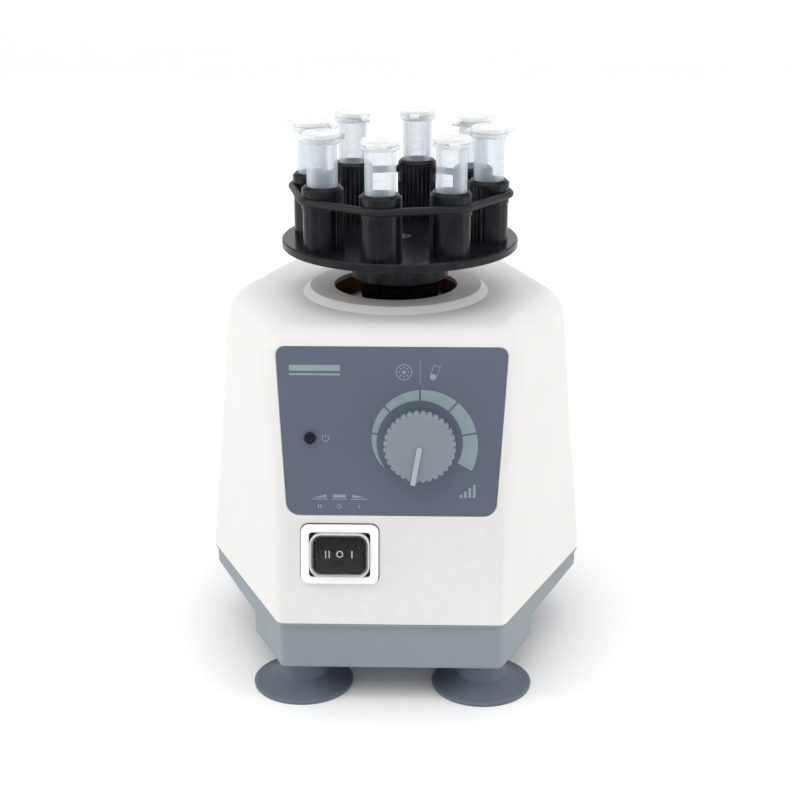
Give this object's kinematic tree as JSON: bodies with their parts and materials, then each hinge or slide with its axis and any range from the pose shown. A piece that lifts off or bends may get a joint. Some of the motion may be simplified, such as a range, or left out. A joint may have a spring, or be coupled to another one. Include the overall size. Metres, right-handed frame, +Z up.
{
  "type": "vortex mixer",
  "caption": "Bench vortex mixer: sprung orbital platform with sleeved microtubes, speed dial, three way rocker, mains inlet and suction feet.",
  "frame": {"origin": "on the floor under the motor axis, at the centre of the footprint", "axes": "+Z up along the motor axis, -Y towards the control face, +X to the right of someone facing it"},
  "size_m": [0.14, 0.1454, 0.1925],
  "materials": {
    "housing_plastic": "light warm white fine-textured moulding",
    "base_plastic": "blue grey fine-textured moulding",
    "foot_rubber": "slate grey soft rubber",
    "screw_steel": "zinc plated",
    "ballast_iron": "rough cast, painted dark",
    "panel_film": "printed satin film",
    "lamp_lens": "diffusing lens",
    "pot_metal": "tinned",
    "bezel_white": "gloss white moulding",
    "switch_black": "satin black moulding",
    "clear_pvc": "clear flexible vinyl",
    "inlet_black": "black moulding",
    "pin_brass": "nickel plated brass",
    "mount_rubber": "black rubber",
    "bracket_aluminium": "die cast",
    "bush_bronze": "sintered bronze",
    "core_steel": "stacked laminations",
    "coil_copper": "enamelled copper wire",
    "board_green": "circuit board",
    "liner_phenolic": "brown phenolic",
    "spring_steel": "spring wire",
    "knob_plastic": "blue grey satin moulding",
    "pointer_plastic": "pale grey insert",
    "shaft_steel": "ground steel",
    "seat_plastic": "white acetal",
    "plunger_plastic": "red acetal",
    "head_black": "near black satin moulding",
    "band_rubber": "dark grey elastomer",
    "tube_polypropylene": "frosted translucent polypropylene",
    "lid_polypropylene": "frosted translucent polypropylene"
  },
  "bodies": {
    "base": {"upper_housing": "housing_plastic", "base_tray": "base_plastic", "housing_screws": "screw_steel", "ballast_plate": "ballast_iron", "suction_feet": "foot_rubber", "foot_screws": "screw_steel", "control_panel": "panel_film", "lamp": "lamp_lens", "potentiometer": "pot_metal", "switch_bezel": "bezel_white", "switch_body": "switch_black", "splash_cover": "clear_pvc", "mains_inlet": "inlet_black", "inlet_pins": "pin_brass", "inlet_screws": "screw_steel", "fuse_holder": "inlet_black", "motor_mounts": "mount_rubber", "motor_posts": "screw_steel", "motor_bottom_bracket": "bracket_aluminium", "motor_bushes": "bush_bronze", "stator_core": "core_steel", "stator_coils": "coil_copper", "motor_top_bracket": "bracket_aluminium", "touch_switch": "switch_black", "control_board": "board_green", "opening_liner": "liner_phenolic", "return_spring": "spring_steel"},
    "knob": {"speed_knob": "knob_plastic", "knob_pointer": "pointer_plastic", "knob_shaft": "shaft_steel"},
    "rocker": {"rocker": "switch_black"},
    "thrust_seat": {"thrust_seat": "seat_plastic"},
    "plunger": {"switch_plunger": "plunger_plastic"},
    "rotor": {"rotor_core": "core_steel", "motor_shaft": "shaft_steel", "cooling_fan": "bracket_aluminium", "eccentric": "shaft_steel", "bearing_inner_races": "shaft_steel"},
    "head": {"bearing_outer_races": "shaft_steel", "head_post": "head_black", "platform_plate": "head_black", "platform_screw": "screw_steel", "tube_sleeves": "head_black", "retaining_band": "band_rubber"},
    "tube_1": {"tube_1": "tube_polypropylene"},
    "tube_2": {"tube_2": "tube_polypropylene"},
    "tube_3": {"tube_3": "tube_polypropylene"},
    "tube_4": {"tube_4": "tube_polypropylene"},
    "tube_5": {"tube_5": "tube_polypropylene"},
    "tube_6": {"tube_6": "tube_polypropylene"},
    "tube_7": {"tube_7": "tube_polypropylene"},
    "tube_8": {"tube_8": "tube_polypropylene"},
    "lid_1": {"lid_1": "lid_polypropylene"},
    "lid_2": {"lid_2": "lid_polypropylene"},
    "lid_3": {"lid_3": "lid_polypropylene"},
    "lid_4": {"lid_4": "lid_polypropylene"},
    "lid_5": {"lid_5": "lid_polypropylene"},
    "lid_6": {"lid_6": "lid_polypropylene"},
    "lid_7": {"lid_7": "lid_polypropylene"},
    "lid_8": {"lid_8": "lid_polypropylene"}
  },
  "joints": [
    {"name": "speed_dial", "type": "hinge", "parent": "base", "child": "knob", "pos_m": [0.0096, -0.06349, 0.09591], "axis": [0, 0.9867, -0.1625], "range_deg": [0, 300]},
    {"name": "mode_rocker", "type": "hinge", "parent": "base", "child": "rocker", "pos_m": [-0.0176, -0.06106, 0.05528], "axis": [0, 0.1625, 0.9867], "range_deg": [-8, 8]},
    {"name": "touch_press", "type": "slide", "parent": "base", "child": "thrust_seat", "axis": [0, 0, 1], "range_m": [-0.0015, 0], "stiffness_N_per_m": 4000, "springref_m": 0.0022, "deforming": ["return_spring"]},
    {"name": "touch_switch_plunger", "type": "slide", "parent": "base", "child": "plunger", "axis": [0, 0, 1], "range_m": [-0.0015, 0]},
    {"name": "motor_spin", "type": "hinge", "parent": "thrust_seat", "child": "rotor", "pos_m": [0, 0, 0.078], "axis": [0, 0, 1], "continuous": true},
    {"name": "head_orbit", "type": "hinge", "parent": "rotor", "child": "head", "pos_m": [0.0015, 0, 0.13], "axis": [0, 0, 1], "continuous": true},
    {"name": "tube_1_lift", "type": "slide", "parent": "head", "child": "tube_1", "axis": [0, 0, 1], "range_m": [0, 0.045]},
    {"name": "tube_2_lift", "type": "slide", "parent": "head", "child": "tube_2", "axis": [0, 0, 1], "range_m": [0, 0.045]},
    {"name": "tube_3_lift", "type": "slide", "parent": "head", "child": "tube_3", "axis": [0, 0, 1], "range_m": [0, 0.045]},
    {"name": "tube_4_lift", "type": "slide", "parent": "head", "child": "tube_4", "axis": [0, 0, 1], "range_m": [0, 0.045]},
    {"name": "tube_5_lift", "type": "slide", "parent": "head", "child": "tube_5", "axis": [0, 0, 1], "range_m": [0, 0.045]},
    {"name": "tube_6_lift", "type": "slide", "parent": "head", "child": "tube_6", "axis": [0, 0, 1], "range_m": [0, 0.045]},
    {"name": "tube_7_lift", "type": "slide", "parent": "head", "child": "tube_7", "axis": [0, 0, 1], "range_m": [0, 0.045]},
    {"name": "tube_8_lift", "type": "slide", "parent": "head", "child": "tube_8", "axis": [0, 0, 1], "range_m": [0, 0.045]},
    {"name": "lid_1_hinge", "type": "hinge", "parent": "tube_1", "child": "lid_1", "pos_m": [-0.00333, -0.02332, 0.19], "axis": [-0.9925, 0.1219, 0], "range_deg": [0, 120]},
    {"name": "lid_2_hinge", "type": "hinge", "parent": "tube_2", "child": "lid_2", "pos_m": [0.02048, -0.03453, 0.19], "axis": [0.9945, 0.1045, 0], "range_deg": [0, 120]},
    {"name": "lid_3_hinge", "type": "hinge", "parent": "tube_3", "child": "lid_3", "pos_m": [0.02482, -0.00483, 0.19], "axis": [-0.1219, -0.9925, 0], "range_deg": [0, 120]},
    {"name": "lid_4_hinge", "type": "hinge", "parent": "tube_4", "child": "lid_4", "pos_m": [0.02141, 0.01308, 0.19], "axis": [0.6157, -0.788, 0], "range_deg": [0, 120]},
    {"name": "lid_5_hinge", "type": "hinge", "parent": "tube_5", "child": "lid_5", "pos_m": [0.00633, 0.02332, 0.19], "axis": [0.9925, -0.1219, 0], "range_deg": [0, 120]},
    {"name": "lid_6_hinge", "type": "hinge", "parent": "tube_6", "child": "lid_6", "pos_m": [-0.01158, 0.01991, 0.19], "axis": [0.788, 0.6157, 0], "range_deg": [0, 120]},
    {"name": "lid_7_hinge", "type": "hinge", "parent": "tube_7", "child": "lid_7", "pos_m": [-0.02183, 0.00483, 0.19], "axis": [0.1219, 0.9925, 0], "range_deg": [0, 120]},
    {"name": "lid_8_hinge", "type": "hinge", "parent": "tube_8", "child": "lid_8", "pos_m": [-0.01841, -0.01308, 0.19], "axis": [-0.6157, 0.788, 0], "range_deg": [0, 120]}
  ],
  "couplings": [
    {"joint": "head_orbit", "follows": "motor_spin", "ratio": -1},
    {"joint": "touch_switch_plunger", "follows": "touch_press", "ratio": 1}
  ]
}
